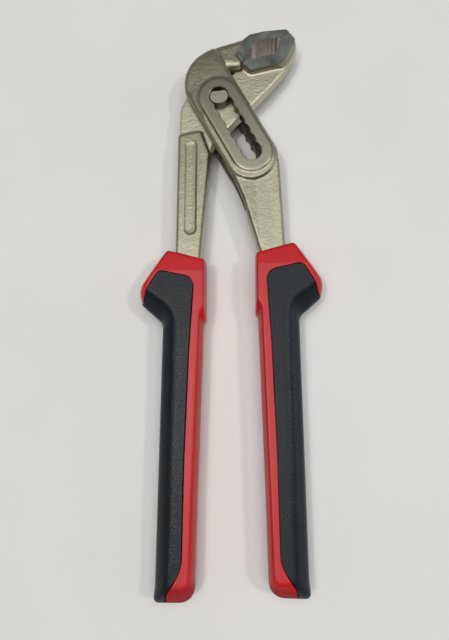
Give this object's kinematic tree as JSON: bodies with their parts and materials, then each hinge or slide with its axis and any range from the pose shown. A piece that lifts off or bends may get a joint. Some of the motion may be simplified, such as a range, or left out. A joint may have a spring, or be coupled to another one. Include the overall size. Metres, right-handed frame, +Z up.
{
  "type": "water pump pliers",
  "caption": "Slotted box-joint water pump pliers with an angled toothed jaw, a double-D pivot pin that shifts along a notched slot, and guarded two-component grips.",
  "frame": {"origin": "under the middle of the bounding box of the tool lying flat with its jaws closed, on the surface it lies on", "axes": "+Y along the tool from the grips to the jaws, +Z up, square to the flat faces, +X to the side of the right grip"},
  "size_m": [0.0792, 0.2496, 0.016],
  "materials": {
    "forged_steel": "satin nickel-plated forging",
    "pin_steel": "turned, satin",
    "spring_steel": "oiled spring steel",
    "hard_plastic": "moulded, semi-gloss red",
    "soft_rubber": "soft overmould, fine grain, charcoal black"
  },
  "bodies": {
    "slotted_side": {"slotted_lever": "forged_steel", "right_grip_sleeve": "hard_plastic", "right_grip_inlay": "soft_rubber"},
    "snap_ring": {"pin_snap_ring": "spring_steel"},
    "inner_side": {"inner_lever": "forged_steel", "pivot_pin": "pin_steel", "left_grip_sleeve": "hard_plastic", "left_grip_inlay": "soft_rubber"}
  },
  "joints": [
    {"name": "slot_shift", "type": "slide", "parent": "slotted_side", "child": "snap_ring", "axis": [0.4848, -0.8746, 0], "range_m": [0, 0.0306]},
    {"name": "jaw_opening", "type": "hinge", "parent": "snap_ring", "child": "inner_side", "pos_m": [-0.00573, 0.09117, 0.008], "axis": [0, 0, -1], "range_deg": [0, 70]}
  ]
}
